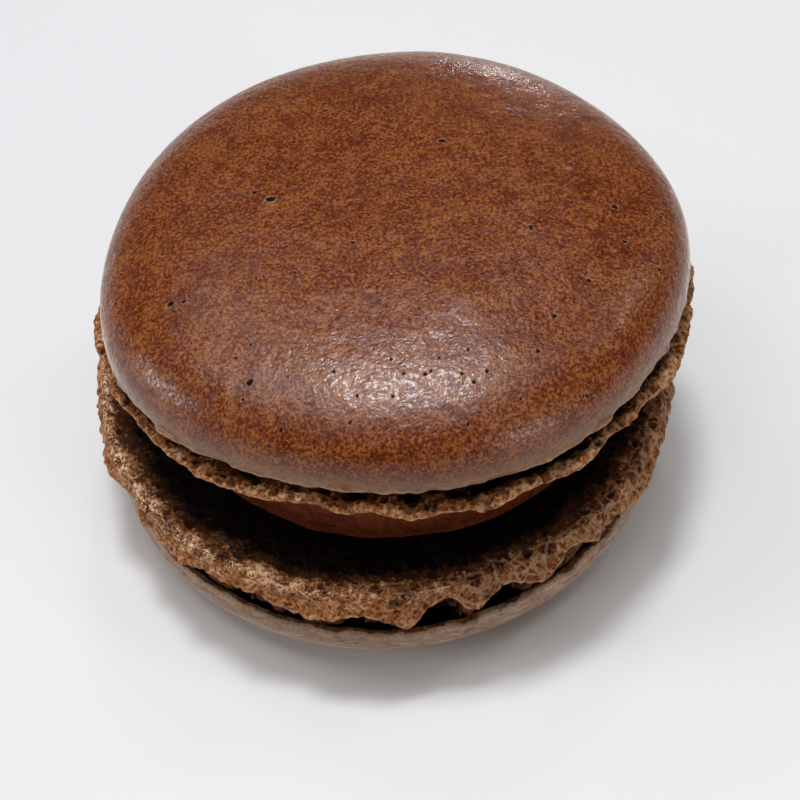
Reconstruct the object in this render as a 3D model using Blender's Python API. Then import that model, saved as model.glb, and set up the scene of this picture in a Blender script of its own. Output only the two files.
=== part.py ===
"""A chocolate macaron: two baked shells with a thick round of ganache between them.

Each shell is one closed solid, turned about its own axis. Its half outline runs from the middle
of its flat face over the rim, round the ruffled foot, into the crevice behind the foot's lip,
round the rolled edge of the crust and up to the crown. Named sizes give the outline, and seeded
ripples and drips make the foot as uneven as a baked one. The lower shell lies upside down on a
small flat spot of its crust. The upper one sits a little tilted and off centre on the filling.

Sizes are in millimetres and angles in degrees until a mesh is made.
The origin is the middle of the flat spot that the macaron rests on, with +Z up.
"""

import math
import random
from dataclasses import dataclass

import bmesh
import bpy
from mathutils import Matrix, Vector

MM = 0.001

# ---- driving dimensions ----
TOUCH_GAP = 0.3  # left open where two pieces touch

GANACHE_HEIGHT = 8.8  # between the two shells' sunken faces, on the lower shell's axis
GANACHE_RADIUS = 18.7
GANACHE_BULGE = 0.3  # the side's belly
GANACHE_EDGE = 0.6  # radius of its rounded edges
GANACHE_CENTRE = (0.7, 0.3)

UPPER_OFFSET = (1.75, 0.93)  # the upper shell's slide over the filling
UPPER_TILT = (-1.4, -1.5)  # about X and Y: its front and its +X side are raised
TILT_PIVOT_HEIGHT = 7.8

# Points round each row of the mesh: most at the foot, fewer towards the two middles.
FINE_ROW = 120
MIDDLE_ROW = FINE_ROW // 2
COARSE_ROW = MIDDLE_ROW // 2

# Rows of the crown, as shares of the way from its widest place to its middle.
CROWN_STOPS = (0.0, 0.12, 0.24, 0.36, 0.48, 0.6, 0.72, 0.84, 0.93, 1.0)
CROWN_FINE_TO = 0.55
CROWN_CAP = 1.5


@dataclass(frozen=True)
class Shell:
    """One shell. Heights run from the rim's plane (0) towards the crown."""

    up: int  # +1 with the crown up, -1 upside down
    crust_radius: float
    widest_height: float  # where the crust is widest
    crown_height: float  # of the whole crown's curve above the widest place
    crown_power: float  # 2 is an ellipse, more is fuller
    flat_spot: float  # radius of a flat place on the crown, or 0
    roll_height: float  # how far the crust's edge rolls back below the widest place
    roll_inset: float
    crevice_radius: float
    crevice_height: float
    shelf_sink: float  # how far the shelf between the lip and the crevice is hollowed
    lip_radius: float
    lip_height: float
    lip_thickness: float
    rim_radius: float
    face_sink: float  # how far the flat face lies below its rim
    face_radius: float  # of the sunken flat part
    oval: tuple  # (lobes, share of the radius, angle of a bulge) for the plan's unevenness
    drip_direction: int  # +1 where the lip's drips hang towards the crown, -1 towards the face
    drips: tuple  # (angle, hang, reach outwards, half width) of the large drips
    seed: int


UPPER = Shell(
    up=1,
    crust_radius=24.0,
    widest_height=3.25,
    crown_height=7.6,
    crown_power=2.72,
    flat_spot=0.0,
    roll_height=1.1,
    roll_inset=1.0,
    crevice_radius=21.9,
    crevice_height=1.4,
    shelf_sink=0.45,
    lip_radius=24.45,
    lip_height=0.75,
    lip_thickness=0.7,
    rim_radius=23.5,
    face_sink=0.5,
    face_radius=19.8,
    oval=((2, 0.0121, 75), (3, 0.0096, -30), (4, 0.0066, 21), (5, 0.0078, -3)),
    drip_direction=-1,
    drips=(
        (-175.0, 0.0, 0.9, 7.0),
        (-140.0, -0.3, -0.35, 5.0),
        (-123.0, 0.2, 0.0, 6.0),
        (-102.5, 0.35, 0.0, 3.0),
        (-98.0, -0.4, 0.0, 3.0),
        (-90.0, 0.4, 0.1, 5.0),
        (-77.0, 0.3, 0.0, 2.5),
        (-72.5, -0.5, 0.0, 3.0),
        (-62.5, 0.25, 0.0, 5.0),
        (-50.3, -0.2, -0.25, 2.0),
        (-43.0, 0.1, 0.2, 4.0),
    ),
    seed=11,
)
LOWER = Shell(
    up=-1,
    crust_radius=23.5,
    widest_height=7.4,
    crown_height=4.6,
    crown_power=2.36,
    flat_spot=9.0,
    roll_height=1.0,
    roll_inset=0.6,
    crevice_radius=21.3,
    crevice_height=4.9,
    shelf_sink=0.0,
    lip_radius=24.75,
    lip_height=1.8,
    lip_thickness=0.9,
    rim_radius=23.9,
    face_sink=1.0,
    face_radius=19.8,
    oval=((2, 0.0023, 81), (3, 0.0052, 21)),
    drip_direction=1,
    drips=(
        (-155.0, 0.0, -0.5, 9.0),
        (-135.0, 0.4, 0.0, 9.0),
        (-117.0, -0.5, 0.0, 3.5),
        (-107.5, 0.9, 0.1, 5.0),
        (-95.5, -0.8, 0.0, 3.2),
        (-88.2, 1.35, 0.2, 2.8),
        (-80.6, -1.0, 0.0, 3.2),
        (-75.6, 0.85, 0.1, 2.6),
        (-69.5, -1.3, 0.0, 3.2),
        (-63.6, 0.7, 0.1, 2.8),
        (-55.0, -1.8, 0.0, 4.0),
    ),
    seed=23,
)

# Unevenness that both feet share.
RIPPLE_WAVES = (7, 11, 17, 26)  # waves round the foot
RIPPLE_SIZE = 0.13  # of each wave, in height and outwards
SMALL_DRIPS = 16  # spread by the seed over the part of the foot that has no named drip
SMALL_DRIP_HANG = (0.2, 0.9)
SMALL_DRIP_REACH = 0.25  # outwards, as a share of the hang
SMALL_DRIP_WIDTH = (3.0, 5.0)
CRUMB = 0.14  # how far a foot point may stray


@dataclass(frozen=True)
class Row:
    """One row of points round the axis."""

    radius: float
    height: float
    points: int
    ruffle: float = 0.0  # share of the lip's ripple that the row follows
    crumb: float = 0.0  # share of the random straying


def angle_between(a, b):
    """The angle from b to a, between -180 and 180 degrees."""
    return (a - b + 180.0) % 360.0 - 180.0


def all_drips(shell, rng):
    """The named drips, and small seeded ones where there is none nearby."""
    drips = list(shell.drips)
    step = 360.0 / SMALL_DRIPS
    for index in range(SMALL_DRIPS):
        angle = index * step + rng.uniform(-0.35, 0.35) * step
        hang = rng.uniform(*SMALL_DRIP_HANG)
        width = rng.uniform(*SMALL_DRIP_WIDTH)
        if min(abs(angle_between(angle, named[0])) for named in shell.drips) > step * 0.7:
            drips.append((angle, hang, hang * SMALL_DRIP_REACH, width))
    return drips


def make_ruffle(shell, rng):
    """A function that gives the lip's movement at an angle: outwards, and along the drips."""
    waves = [(count, rng.uniform(0, 360), rng.uniform(0, 360)) for count in RIPPLE_WAVES]
    drips = all_drips(shell, rng)

    def ruffle(angle):
        out = sum(math.cos(math.radians(count * angle + phase)) for count, phase, _ in waves)
        along = sum(math.cos(math.radians(count * angle + phase)) for count, _, phase in waves)
        out *= RIPPLE_SIZE
        along *= RIPPLE_SIZE
        for centre, hang, reach, half_width in drips:
            share = math.exp(-((angle_between(angle, centre) / half_width) ** 2))
            along += hang * share
            out += reach * share
        return out, along * shell.drip_direction

    return ruffle


def crown_rows(shell):
    """Rows of the crust from its widest place to the crown, on a superellipse."""
    power = shell.crown_power
    # Without a flat spot the rows stop just short of the middle, and a small cap closes them.
    end_radius = shell.flat_spot or CROWN_CAP
    last_turn = math.acos((end_radius / shell.crust_radius) ** (power / 2))
    rows = []
    for stop in CROWN_STOPS:
        turn = stop * last_turn
        radius = shell.crust_radius * math.cos(turn) ** (2 / power)
        height = shell.widest_height + shell.crown_height * math.sin(turn) ** (2 / power)
        rows.append(Row(radius, height, FINE_ROW if stop < CROWN_FINE_TO else MIDDLE_ROW))
    return rows


def face_rows(shell):
    """Rows of the face that holds the filling: flat and sunken, with a slope up to the rim."""
    sink = shell.face_sink
    slope = shell.rim_radius - shell.face_radius
    return [
        Row(shell.face_radius / 2, sink, COARSE_ROW),
        Row(shell.face_radius, sink, MIDDLE_ROW),
        Row(shell.face_radius + 0.4 * slope, 0.7 * sink, FINE_ROW, crumb=0.6),
        Row(shell.face_radius + 0.75 * slope, 0.2 * sink, FINE_ROW, ruffle=0.1, crumb=1.0),
    ]


def foot_rows(shell):
    """Rows of the ruffled foot, from the rim to the back of its lip."""
    neck = shell.lip_radius - 0.35 * shell.lip_thickness
    return [
        Row(shell.rim_radius, 0.0, FINE_ROW, ruffle=0.3, crumb=1.0),
        Row(0.4 * shell.rim_radius + 0.6 * neck, 0.3 * shell.lip_height, FINE_ROW, ruffle=0.5, crumb=1.0),
        Row(neck, 0.65 * shell.lip_height, FINE_ROW, ruffle=0.8, crumb=1.0),
        Row(shell.lip_radius, shell.lip_height, FINE_ROW, ruffle=1.0, crumb=0.8),
        Row(neck, shell.lip_height + 0.45 * shell.lip_thickness, FINE_ROW, ruffle=1.0, crumb=0.8),
    ]


def crevice_rows(shell):
    """Rows behind the lip, and of the crust's edge that rolls back over the crevice."""
    lip_back = shell.lip_height + 0.45 * shell.lip_thickness
    edge_radius = shell.crust_radius - shell.roll_inset
    edge_height = shell.widest_height - shell.roll_height
    inset = shell.roll_inset
    rise = shell.roll_height
    return [
        Row(
            (shell.lip_radius + shell.crevice_radius) / 2,
            (lip_back + shell.crevice_height) / 2 - shell.shelf_sink,
            FINE_ROW,
            ruffle=0.5,
            crumb=1.0,
        ),
        Row(shell.crevice_radius, shell.crevice_height, FINE_ROW, crumb=1.0),
        Row((shell.crevice_radius + edge_radius) / 2, (shell.crevice_height + 2 * edge_height) / 3, FINE_ROW),
        Row(edge_radius, edge_height, FINE_ROW),
        Row(edge_radius + 0.6 * inset, edge_height + 0.25 * rise, FINE_ROW),
        Row(edge_radius + 0.92 * inset, edge_height + 0.6 * rise, FINE_ROW),
    ]


def shell_rows(shell):
    """All rows of the half outline, from the middle of the flat face to the crown."""
    return face_rows(shell) + foot_rows(shell) + crevice_rows(shell) + crown_rows(shell)


def plan_factor(shell, angle):
    """How the plan departs from a circle at an angle."""
    return 1 + sum(share * math.cos(math.radians(lobes * (angle - bulge))) for lobes, share, bulge in shell.oval)


def add_row(mesh, shell, row, ruffle, rng):
    """The vertices of one row."""
    vertices = []
    for index in range(row.points):
        angle = 360.0 * index / row.points
        out, along = ruffle(angle)
        radius = (row.radius + row.ruffle * out) * plan_factor(shell, angle)
        height = row.height + row.ruffle * along
        if row.crumb:
            radius += row.crumb * rng.uniform(-CRUMB, CRUMB)
            height += row.crumb * rng.uniform(-CRUMB, CRUMB) * 0.7
        turn = math.radians(angle)
        place = Vector((radius * math.cos(turn), radius * math.sin(turn), shell.up * height))
        vertices.append(mesh.verts.new(place * MM))
    return vertices


def bridge(mesh, near, far):
    """Faces between two rows of the same count, or where one has twice as many points."""
    if len(near) < len(far):
        near, far = far, near
    step = len(near) // len(far)
    for index in range(len(far)):
        after = (index + 1) % len(far)
        fine = [near[(index * step + offset) % len(near)] for offset in range(step + 1)]
        if step == 1:
            mesh.faces.new((fine[0], fine[1], far[after], far[index]))
        else:
            mesh.faces.new((fine[0], fine[1], far[index]))
            mesh.faces.new((fine[1], far[after], far[index]))
            mesh.faces.new((fine[1], fine[2], far[after]))


def close_end(mesh, row, flat):
    """Close a row with one flat face, or with a fan about a middle vertex."""
    if flat:
        mesh.faces.new(row)
        return
    middle = sum((vertex.co for vertex in row), Vector()) / len(row)
    tip = mesh.verts.new(middle)
    for index, vertex in enumerate(row):
        mesh.faces.new((vertex, row[(index + 1) % len(row)], tip))


def finish_object(name, mesh, material, smooth_angle):
    """Turn a bmesh into an object of the scene."""
    bmesh.ops.recalc_face_normals(mesh, faces=mesh.faces)
    data = bpy.data.meshes.new(name)
    mesh.to_mesh(data)
    mesh.free()
    data.materials.append(material)
    data.shade_smooth()
    data.set_sharp_from_angle(angle=math.radians(smooth_angle))
    piece = bpy.data.objects.new(name, data)
    bpy.context.collection.objects.link(piece)
    return piece


def make_shell(name, shell, material):
    """One shell in its own frame, with its rim's plane at height 0."""
    rng = random.Random(shell.seed)
    ruffle = make_ruffle(shell, rng)
    mesh = bmesh.new()
    rows = [add_row(mesh, shell, row, ruffle, rng) for row in shell_rows(shell)]
    for near, far in zip(rows, rows[1:]):
        bridge(mesh, near, far)
    close_end(mesh, rows[0], flat=True)
    close_end(mesh, rows[-1], flat=bool(shell.flat_spot))
    return finish_object(name, mesh, material, 40)


def lower_shell_height():
    """From the flat spot to the rim's plane."""
    share = (LOWER.flat_spot / LOWER.crust_radius) ** LOWER.crown_power
    crown = LOWER.crown_height * (1 - share) ** (1 / LOWER.crown_power)
    return LOWER.widest_height + crown


def ganache_floor():
    """Height of the lower shell's sunken face."""
    return lower_shell_height() - LOWER.face_sink


def upper_placement():
    """The matrix that puts the upper shell on the filling."""
    pivot = Vector((0, 0, TILT_PIVOT_HEIGHT))
    rim_height = ganache_floor() + GANACHE_HEIGHT - UPPER.face_sink
    seat = Vector((*UPPER_OFFSET, rim_height))
    tilt = Matrix.Rotation(math.radians(UPPER_TILT[0]), 4, "X")
    tilt = tilt @ Matrix.Rotation(math.radians(UPPER_TILT[1]), 4, "Y")
    place = tilt @ (seat - pivot) + pivot
    return Matrix.Translation(place * MM) @ tilt


def ganache_ceiling(x, y):
    """Height of the filling's top at a place, parallel to the upper shell's face."""
    placement = upper_placement()
    centre = placement @ Vector((0, 0, (UPPER.face_sink - TOUCH_GAP) * MM)) / MM
    normal = placement.to_3x3() @ Vector((0, 0, 1))
    return centre.z - (normal.x * (x - centre.x) + normal.y * (y - centre.y)) / normal.z


def make_ganache(material):
    """The filling: a thick round with a slightly bellied side and rounded edges."""
    floor = ganache_floor() + TOUCH_GAP
    corner = [math.radians(turn) for turn in (0, 30, 60, 90)]
    half = [(GANACHE_RADIUS - GANACHE_EDGE * (1 - math.sin(a)), GANACHE_EDGE * (1 - math.cos(a))) for a in corner]
    mesh = bmesh.new()
    rows = []
    # Each row gives its radius, its distance from the nearer face and which face that is.
    outline = [(radius, inset, False) for radius, inset in half]
    outline += [(GANACHE_RADIUS + GANACHE_BULGE, None, None)]
    outline += [(radius, inset, True) for radius, inset in reversed(half)]
    for radius, inset, from_top in outline:
        row = []
        for index in range(MIDDLE_ROW):
            turn = 2 * math.pi * index / MIDDLE_ROW
            x = GANACHE_CENTRE[0] + radius * math.cos(turn)
            y = GANACHE_CENTRE[1] + radius * math.sin(turn)
            ceiling = ganache_ceiling(x, y)
            if inset is None:
                height = (floor + ceiling) / 2
            else:
                height = ceiling - inset if from_top else floor + inset
            row.append(mesh.verts.new(Vector((x, y, height)) * MM))
        rows.append(row)
    for near, far in zip(rows, rows[1:]):
        bridge(mesh, near, far)
    close_end(mesh, rows[0], flat=True)
    close_end(mesh, rows[-1], flat=True)
    return finish_object("filling", mesh, material, 40)


def make_material(name, colour, roughness):
    """A Principled material; colours are linear."""
    material = bpy.data.materials.new(name)
    material.use_nodes = True
    shader = material.node_tree.nodes["Principled BSDF"]
    shader.inputs["Base Color"].default_value = (*colour, 1.0)
    shader.inputs["Roughness"].default_value = roughness
    shader.inputs["Metallic"].default_value = 0.0
    return material


def main():
    for item in list(bpy.data.objects):
        bpy.data.objects.remove(item, do_unlink=True)
    baked = make_material("baked_shell", (0.21, 0.085, 0.045), 0.5)
    ganache = make_material("ganache", (0.055, 0.018, 0.010), 0.45)
    lower = make_shell("bottom_shell", LOWER, baked)
    lower.location = (0, 0, lower_shell_height() * MM)
    make_ganache(ganache)
    upper = make_shell("top_shell", UPPER, baked)
    upper.matrix_world = upper_placement()


main()
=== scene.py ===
"""The looks of a chocolate macaron: fine crusts, porous ruffled feet and smooth ganache.

Crusts and feet are worked out in millimetres in the frame of their own shell, where height runs
from the plane of the shell's rim (0) towards its crown, and are then placed in the part's frame.
"""

import math
import random

import bmesh
import bpy
import numpy as np
from mathutils import Matrix, Vector


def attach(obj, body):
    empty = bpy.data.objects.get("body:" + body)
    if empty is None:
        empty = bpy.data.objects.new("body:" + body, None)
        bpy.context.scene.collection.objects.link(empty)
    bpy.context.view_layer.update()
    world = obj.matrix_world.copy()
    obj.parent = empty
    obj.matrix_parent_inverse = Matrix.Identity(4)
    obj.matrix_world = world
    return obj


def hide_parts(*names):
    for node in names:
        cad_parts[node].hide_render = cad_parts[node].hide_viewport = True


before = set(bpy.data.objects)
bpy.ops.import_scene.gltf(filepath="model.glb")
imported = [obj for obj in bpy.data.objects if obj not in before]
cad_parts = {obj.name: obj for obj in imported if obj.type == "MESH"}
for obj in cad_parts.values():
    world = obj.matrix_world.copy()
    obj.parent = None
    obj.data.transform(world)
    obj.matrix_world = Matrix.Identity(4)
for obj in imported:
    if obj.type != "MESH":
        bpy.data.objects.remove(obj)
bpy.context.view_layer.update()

MM = 0.001

# ---------------------------------------- sizes of the solids, repeated

GANACHE_HEIGHT = 8.8
GANACHE_RADIUS = 18.7
GANACHE_BULGE = 0.3
GANACHE_CENTRE = (0.7, 0.3)
UPPER_OFFSET = (1.75, 0.93)
UPPER_TILT = (-1.4, -1.5)
TILT_PIVOT_HEIGHT = 7.8

UPPER = dict(
    up=1,
    crust_radius=24.0,
    widest_height=3.25,
    crown_height=7.6,
    crown_power=2.72,
    flat_spot=0.0,
    roll_height=1.1,
    roll_inset=1.0,
    crevice_radius=21.9,
    crevice_height=1.4,
    crust_end=(20.9, 2.2),
    lip_radius=24.45,
    lip_height=0.75,
    lip_thickness=0.7,
    rim_radius=23.5,
    face_sink=0.5,
    face_radius=19.8,
    oval=((2, 0.0121, 75), (3, 0.0096, -30), (4, 0.0066, 21), (5, 0.0078, -3)),
    drip_direction=-1,
    drips=(
        (-175.0, 0.0, 0.9, 7.0),
        (-140.0, -0.3, -0.35, 5.0),
        (-123.0, 0.2, 0.0, 6.0),
        (-102.5, 0.35, 0.0, 3.0),
        (-98.0, -0.4, 0.0, 3.0),
        (-90.0, 0.4, 0.1, 5.0),
        (-77.0, 0.3, 0.0, 2.5),
        (-72.5, -0.5, 0.0, 3.0),
        (-62.5, 0.25, 0.0, 5.0),
        (-50.3, -0.2, -0.25, 2.0),
        (-43.0, 0.1, 0.2, 4.0),
    ),
    edge_chips=0.5,  # how far the crust's lower edge is uneven, in the looks alone
    seed=11,
)
LOWER = dict(
    up=-1,
    crust_radius=23.5,
    widest_height=7.4,
    crown_height=4.6,
    crown_power=2.36,
    flat_spot=9.0,
    roll_height=1.0,
    roll_inset=0.6,
    crevice_radius=21.3,
    crevice_height=4.9,
    crust_end=(20.3, 6.5),
    lip_radius=24.75,
    lip_height=1.8,
    lip_thickness=0.9,
    rim_radius=23.9,
    face_sink=1.0,
    face_radius=19.8,
    oval=((2, 0.0023, 81), (3, 0.0052, 21)),
    drip_direction=1,
    drips=(
        (-155.0, 0.0, -0.5, 9.0),
        (-135.0, 0.4, 0.0, 9.0),
        (-117.0, -0.5, 0.0, 3.5),
        (-107.5, 0.9, 0.1, 5.0),
        (-95.5, -0.8, 0.0, 3.2),
        (-88.2, 1.35, 0.2, 2.8),
        (-80.6, -1.0, 0.0, 3.2),
        (-75.6, 0.85, 0.1, 2.6),
        (-69.5, -1.3, 0.0, 3.2),
        (-63.6, 0.7, 0.1, 2.8),
        (-55.0, -1.8, 0.0, 4.0),
    ),
    edge_chips=0.16,
    seed=23,
)
RIPPLE_WAVES = (7, 11, 17, 26)
RIPPLE_SIZE = 0.13
SMALL_DRIPS = 16
SMALL_DRIP_HANG = (0.2, 0.9)
SMALL_DRIP_REACH = 0.25
SMALL_DRIP_WIDTH = (3.0, 5.0)


def angle_between(a, b):
    """The angle from b to a, between -180 and 180 degrees."""
    return (a - b + 180.0) % 360.0 - 180.0


def wave(angle, count, phase):
    """A wave that runs count times round the axis."""
    return np.cos(np.radians(count * angle + phase))


def make_ruffle(shell):
    """The same movement of the foot's lip as in the solids, as a function of arrays of angles."""
    rng = random.Random(shell["seed"])
    waves = [(count, rng.uniform(0, 360), rng.uniform(0, 360)) for count in RIPPLE_WAVES]
    drips = list(shell["drips"])
    step = 360.0 / SMALL_DRIPS
    for index in range(SMALL_DRIPS):
        angle = index * step + rng.uniform(-0.35, 0.35) * step
        hang = rng.uniform(*SMALL_DRIP_HANG)
        width = rng.uniform(*SMALL_DRIP_WIDTH)
        if min(abs(angle_between(angle, named[0])) for named in shell["drips"]) > step * 0.7:
            drips.append((angle, hang, hang * SMALL_DRIP_REACH, width))

    def ruffle(angle):
        out = RIPPLE_SIZE * sum(wave(angle, count, phase) for count, phase, _ in waves)
        along = RIPPLE_SIZE * sum(wave(angle, count, phase) for count, _, phase in waves)
        for centre, hang, reach, half_width in drips:
            share = np.exp(-((angle_between(angle, centre) / half_width) ** 2))
            along = along + hang * share
            out = out + reach * share
        return out, along * shell["drip_direction"]

    return ruffle


def plan_factor(shell, angle):
    """How the plan departs from a circle at an angle in degrees."""
    factor = 1.0
    for lobes, share, bulge in shell["oval"]:
        factor = factor + share * np.cos(np.radians(lobes * (angle - bulge)))
    return factor


def lower_height():
    """The height of the lower shell's rim plane above the ground."""
    share = (LOWER["flat_spot"] / LOWER["crust_radius"]) ** LOWER["crown_power"]
    crown = LOWER["crown_height"] * (1 - share) ** (1 / LOWER["crown_power"])
    return LOWER["widest_height"] + crown


def ganache_floor():
    """The height of the lower shell's flat face, on which the filling lies."""
    return lower_height() - LOWER["face_sink"]


def upper_placement():
    """The matrix in millimetres that puts the upper shell on the filling."""
    pivot = Vector((0, 0, TILT_PIVOT_HEIGHT))
    rim_height = ganache_floor() + GANACHE_HEIGHT - UPPER["face_sink"]
    seat = Vector((*UPPER_OFFSET, rim_height))
    tilt = Matrix.Rotation(math.radians(UPPER_TILT[0]), 4, "X")
    tilt = tilt @ Matrix.Rotation(math.radians(UPPER_TILT[1]), 4, "Y")
    return Matrix.Translation(tilt @ (seat - pivot) + pivot) @ tilt


def placement(shell):
    """The matrix in millimetres that puts a shell in the part's frame."""
    if shell is UPPER:
        return upper_placement()
    return Matrix.Translation((0, 0, lower_height()))


# ---------------------------------------- noise


def lattice(ix, iy, iz, seed):
    """A repeatable random number from 0 to 1 for each lattice point."""
    h = (ix * 374761393 + iy * 668265263 + iz * 1442695041 + seed * 974634777) & 0xFFFFFFFF
    h = ((h ^ (h >> 13)) * 1274126177) & 0xFFFFFFFF
    h = ((h ^ (h >> 15)) * 2246822519) & 0xFFFFFFFF
    return ((h ^ (h >> 16)) & 0xFFFFFF) / float(0xFFFFFF)


def smooth_noise(points, size, seed):
    """Value noise between -1 and 1 with features of a size in millimetres."""
    p = points / size
    base = np.floor(p).astype(np.int64)
    f = p - base
    f = f * f * f * (f * (f * 6 - 15) + 10)
    total = np.zeros(len(p))
    for dx in (0, 1):
        wx = f[:, 0] if dx else 1 - f[:, 0]
        for dy in (0, 1):
            wy = f[:, 1] if dy else 1 - f[:, 1]
            for dz in (0, 1):
                wz = f[:, 2] if dz else 1 - f[:, 2]
                corner = lattice(base[:, 0] + dx, base[:, 1] + dy, base[:, 2] + dz, seed)
                total += wx * wy * wz * corner
    return total * 2 - 1


def layered_noise(points, size, seed, layers=3):
    """Several octaves of smooth noise, about -1 to 1."""
    total = np.zeros(len(points))
    weight = 1.0
    for layer in range(layers):
        total += weight * smooth_noise(points, size / 2**layer, seed + 31 * layer)
        weight *= 0.55
    return total


def smooth_step(low, high, value):
    """From 0 at low to 1 at high, level at both."""
    t = np.clip((value - low) / (high - low), 0, 1)
    return t * t * (3 - 2 * t)


def foam(points, size, seed, fill):
    """Cells of foam: how deep each point lies in an open cell, from 0 on the walls to about 1.

    A share of the cells, fill, is open, each to a depth of its own; the others are filled up.
    """
    p = points / size
    base = np.floor(p).astype(np.int64)
    nearest = np.full(len(p), 9.0)
    second = np.full(len(p), 9.0)
    chance = np.zeros(len(p))
    for dx in (-1, 0, 1):
        for dy in (-1, 0, 1):
            for dz in (-1, 0, 1):
                cx, cy, cz = base[:, 0] + dx, base[:, 1] + dy, base[:, 2] + dz
                px = cx + lattice(cx, cy, cz, seed)
                py = cy + lattice(cx, cy, cz, seed + 1)
                pz = cz + lattice(cx, cy, cz, seed + 2)
                distance = np.sqrt((p[:, 0] - px) ** 2 + (p[:, 1] - py) ** 2 + (p[:, 2] - pz) ** 2)
                closer = distance < nearest
                second = np.where(closer, nearest, np.minimum(second, distance))
                chance = np.where(closer, lattice(cx, cy, cz, seed + 4), chance)
                nearest = np.where(closer, distance, nearest)
    openness = np.clip((fill - chance) / fill, 0, 1) ** 0.5
    return openness * smooth_step(0.04, 0.5, second - nearest)


# ---------------------------------------- meshes


def around_axis(radius, turn, height):
    """Points at these distances from the axis, angles in radians and heights."""
    return np.stack([radius * np.cos(turn), radius * np.sin(turn), height], axis=-1)


def smooth_curve(knots, counts):
    """Points of a Catmull-Rom curve through rows of knots, with so many points in each span."""
    knots = np.asarray(knots, float)
    padded = np.vstack([2 * knots[0] - knots[1], knots, 2 * knots[-1] - knots[-2]])
    rows = []
    for index, count in enumerate(counts):
        p0, p1, p2, p3 = padded[index : index + 4]
        t = np.linspace(0, 1, count, endpoint=False)[:, None]
        bend = (2 * p0 - 5 * p1 + 4 * p2 - p3) * t**2 + (3 * p1 - p0 - 3 * p2 + p3) * t**3
        rows.append(0.5 * (2 * p1 + (p2 - p0) * t + bend))
    rows.append(knots[-1:])
    return np.vstack(rows)


def grid_normals(grid):
    """Unit normals of a closed ring of points: rows along the outline, columns round the axis."""
    along = np.gradient(grid, axis=0)
    around = np.roll(grid, -1, axis=1) - np.roll(grid, 1, axis=1)
    normal = np.cross(around, along)
    return normal / np.maximum(np.linalg.norm(normal, axis=2, keepdims=True), 1e-9)


def link_object(name, data):
    """A new object in the scene."""
    item = bpy.data.objects.new(name, data)
    bpy.context.scene.collection.objects.link(item)
    return item


def link_mesh(name, points, faces, place, material, attributes=None):
    """A smooth-shaded object from arrays in millimetres and a placement in millimetres."""
    data = bpy.data.meshes.new(name)
    turn = np.array(place.to_3x3())
    shift = np.array(place.to_translation())
    world = (points @ turn.T + shift) * MM
    data.from_pydata(world.tolist(), [], faces)
    for key, values in (attributes or {}).items():
        layer = data.attributes.new(key, "FLOAT", "POINT")
        layer.data.foreach_set("value", np.asarray(values, np.float32))
    data.materials.append(material)
    data.shade_smooth()
    data.update()
    return link_object(name, data)


def ring_faces(rows, columns, flip):
    """Quads of a ring grid, and one face over each end."""
    row = np.arange(rows - 1)[:, None] * columns
    column = np.arange(columns)[None, :]
    after = (column + 1) % columns
    above = row + columns
    quads = np.stack([row + column, row + after, above + after, above + column], axis=2)
    quads = quads.reshape(-1, 4)
    first = np.arange(columns)[::-1]
    last = (rows - 1) * columns + np.arange(columns)
    faces = quads.tolist() + [first.tolist(), last.tolist()]
    return [face[::-1] for face in faces] if flip else faces


# ---------------------------------------- feet

FOOT_HIDDEN_RADIUS = 15.0  # the face is closed off flat inside this, under the filling
FACE_SPANS = 6  # so many spans of a foot's outline, from its start, are the shell's flat face

# Sides of the macaron, as angles in degrees.
FRONT = -90.0
SHADED_SIDE = -20.0  # the feet are painted darkest here, as shade,
LIT_SIDE = -165.0  # and painted lightest here, as light
GLINT_SIDE = -130.0  # painted glints on a crest are widest round here,
GLINT_PEAK = -160.0  # and most of all here

# Open pockets between the foot and the crust's edge: angle, half width in degrees, depth share.
UPPER_POCKETS = (
    (-149.0, 5.0, 1.0),
    (-137.0, 4.0, 1.0),
    (-122.0, 4.0, 0.8),
    (-105.5, 2.2, 1.0),
    (-99.5, 2.2, 1.0),
    (-90.0, 2.4, 1.0),
    (-78.0, 7.0, 1.0),
    (-62.0, 8.0, 1.0),
    (-46.0, 6.0, 0.9),
    (-33.0, 5.0, 1.0),
)
LOWER_POCKETS = (
    (-150.0, 3.0, 0.8),
    (-136.0, 3.0, 0.7),
    (-121.0, 4.0, 1.0),
    (-112.0, 1.8, 0.7),
    (-96.5, 4.4, 1.0),
    (-81.0, 4.6, 1.0),
    (-67.5, 4.4, 1.0),
    (-56.0, 3.6, 1.0),
    (-44.0, 3.5, 0.8),
    (-35.0, 3.0, 0.8),
)
LISTED_ARC = (58.0, 70.0)  # so far from the front, scattered pockets take over from the listed ones
BRIDGE_STRENGTH = 0.85  # how much of a pocket a bridge of crumb fills

# The relief of a foot in millimetres: crags, fine grain and the depth of its foam cells, with the
# sizes of the crags and cells, the share of open cells, how ragged the lip is, how strong the
# painted glints on its crest are, and how far a pocket is sunk towards the axis and away from the
# crust.
UPPER_RELIEF = dict(
    crag=0.10,
    crag_size=1.4,
    fine=0.05,
    cell=0.26,
    cell_size=0.85,
    cell_fill=0.55,
    ragged=0.13,
    froth_glints=0.3,
    pocket=(0.0, 0.85),
)
LOWER_RELIEF = dict(
    crag=0.16,
    crag_size=1.7,
    fine=0.06,
    cell=0.42,
    cell_size=1.0,
    cell_fill=0.5,
    ragged=0.18,
    froth_glints=1.0,
    pocket=(1.7, 0.0),
)
FINE_SIZE = 0.5
SMALL_CELL = 0.45  # the size and depth of the small cells, as shares of the large ones'
SMALL_CELL_FILL = 0.6

# Points in each span of the feet's outlines, and round the axis.
UPPER_FOOT_COUNTS = (2, 5, 4, 5, 6, 5, 5, 5, 5, 7, 7, 6, 3)
LOWER_FOOT_COUNTS = (4, 12, 10, 8, 7, 8, 8, 7, 8, 8, 8, 8)
UPPER_FOOT_COLUMNS = 1300
LOWER_FOOT_COLUMNS = 1100


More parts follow.
